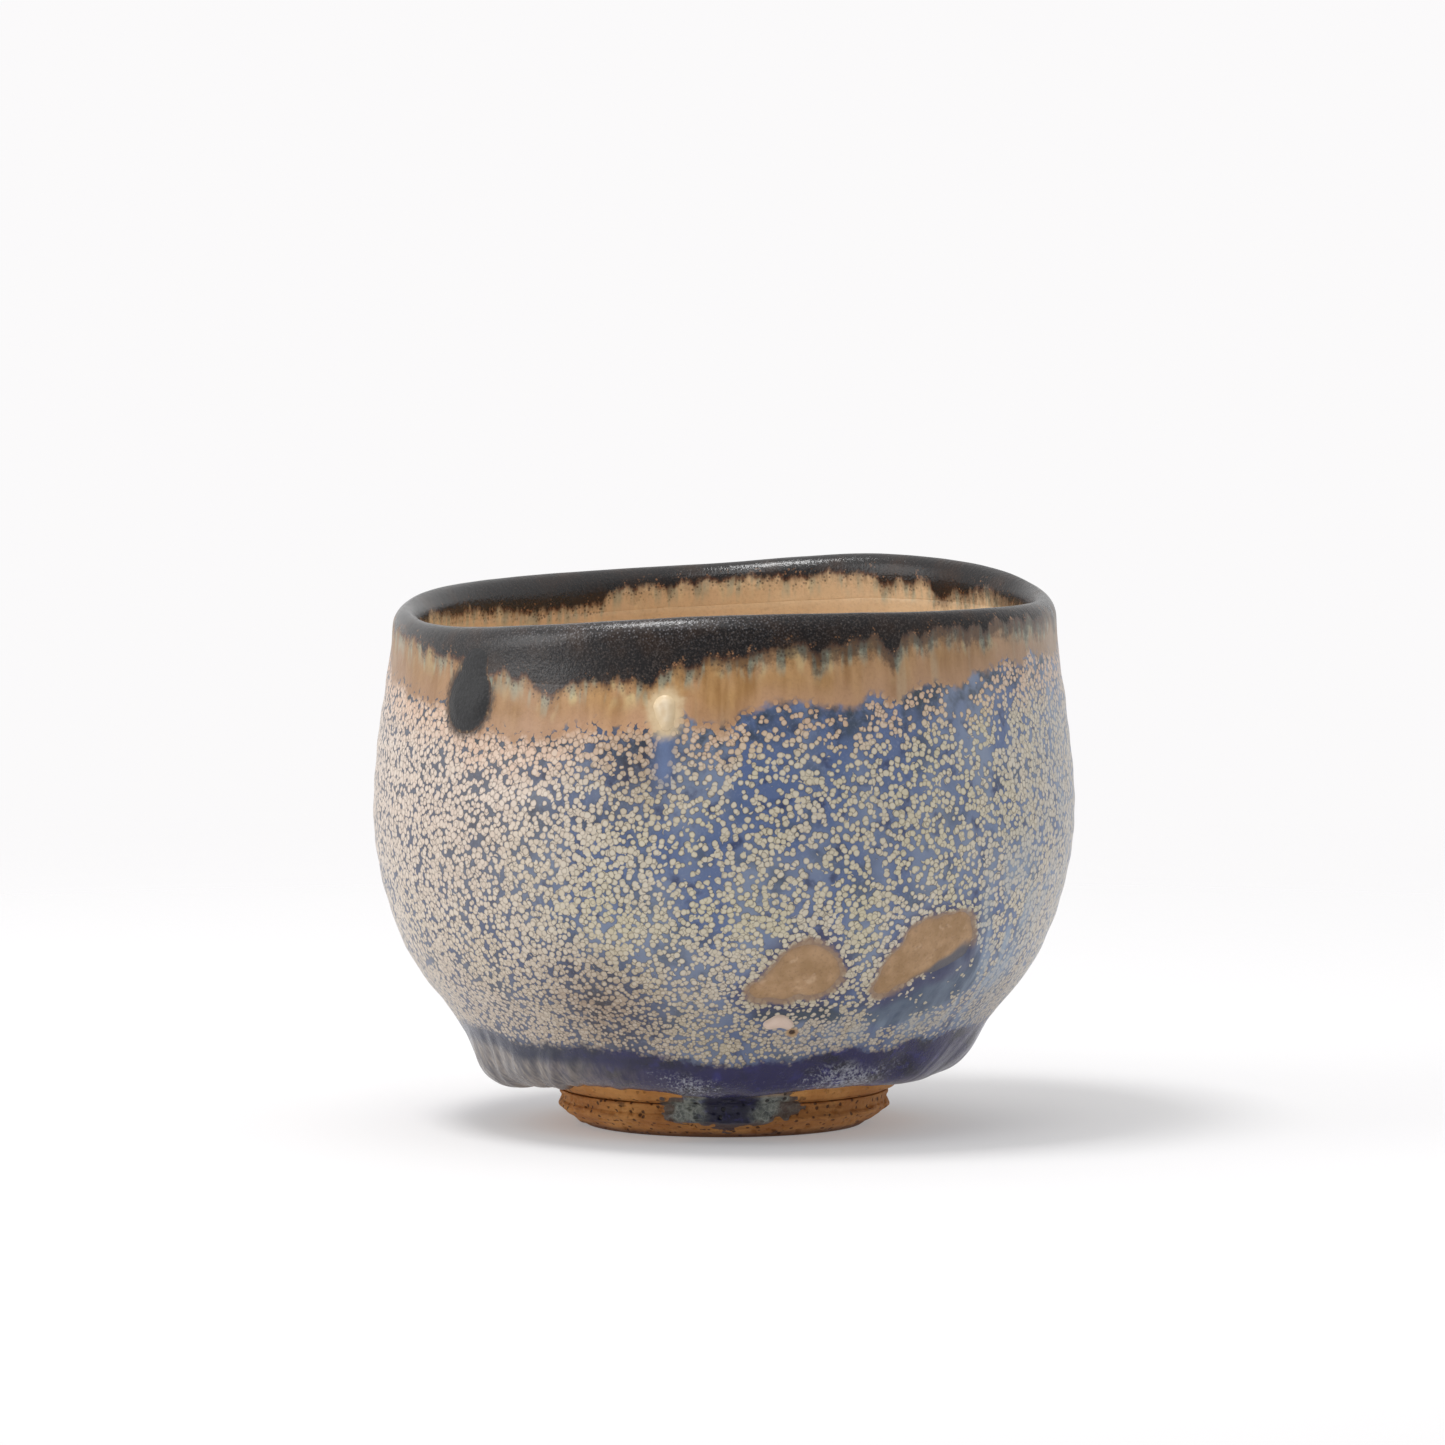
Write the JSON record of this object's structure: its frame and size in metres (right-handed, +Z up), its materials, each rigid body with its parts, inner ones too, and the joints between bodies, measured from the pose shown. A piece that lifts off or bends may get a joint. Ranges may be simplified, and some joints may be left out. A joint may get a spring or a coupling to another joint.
{
  "type": "matcha bowl",
  "caption": "Round-bellied matcha bowl on a low foot ring, with a wavy black rim, speckled blue glaze over tan and a thick cobalt roll above bare clay.",
  "frame": {"origin": "centre of the foot ring's resting plane", "axes": "+Z up along the bowl's axis, -Y towards the bowl's front, +X to the right seen from the front"},
  "size_m": [0.115, 0.1152, 0.09],
  "materials": {
    "bare_clay": "matt, unglazed, iron-brown stoneware",
    "speckled_glaze": "satin gloss, cream flecks over blue, tan at the top",
    "cobalt_glaze": "deep cobalt, crystalline bloom",
    "black_glaze": "glossy iron black with rust flecks",
    "ochre_glaze": "satin ochre with vertical streaks",
    "tan_film": "thin satin film, tan",
    "pale_bead": "glossy cream"
  },
  "bodies": {
    "root": {"clay_bowl": "bare_clay", "foot_ring": "bare_clay", "outer_glaze": "speckled_glaze", "glaze_roll": "cobalt_glaze", "rim_glaze": "black_glaze", "rim_run": "black_glaze", "inner_glaze": "ochre_glaze", "finger_mark_left": "tan_film", "finger_mark_right": "tan_film", "foot_glaze_run": "cobalt_glaze", "glaze_bead": "pale_bead"}
  },
  "joints": []
}
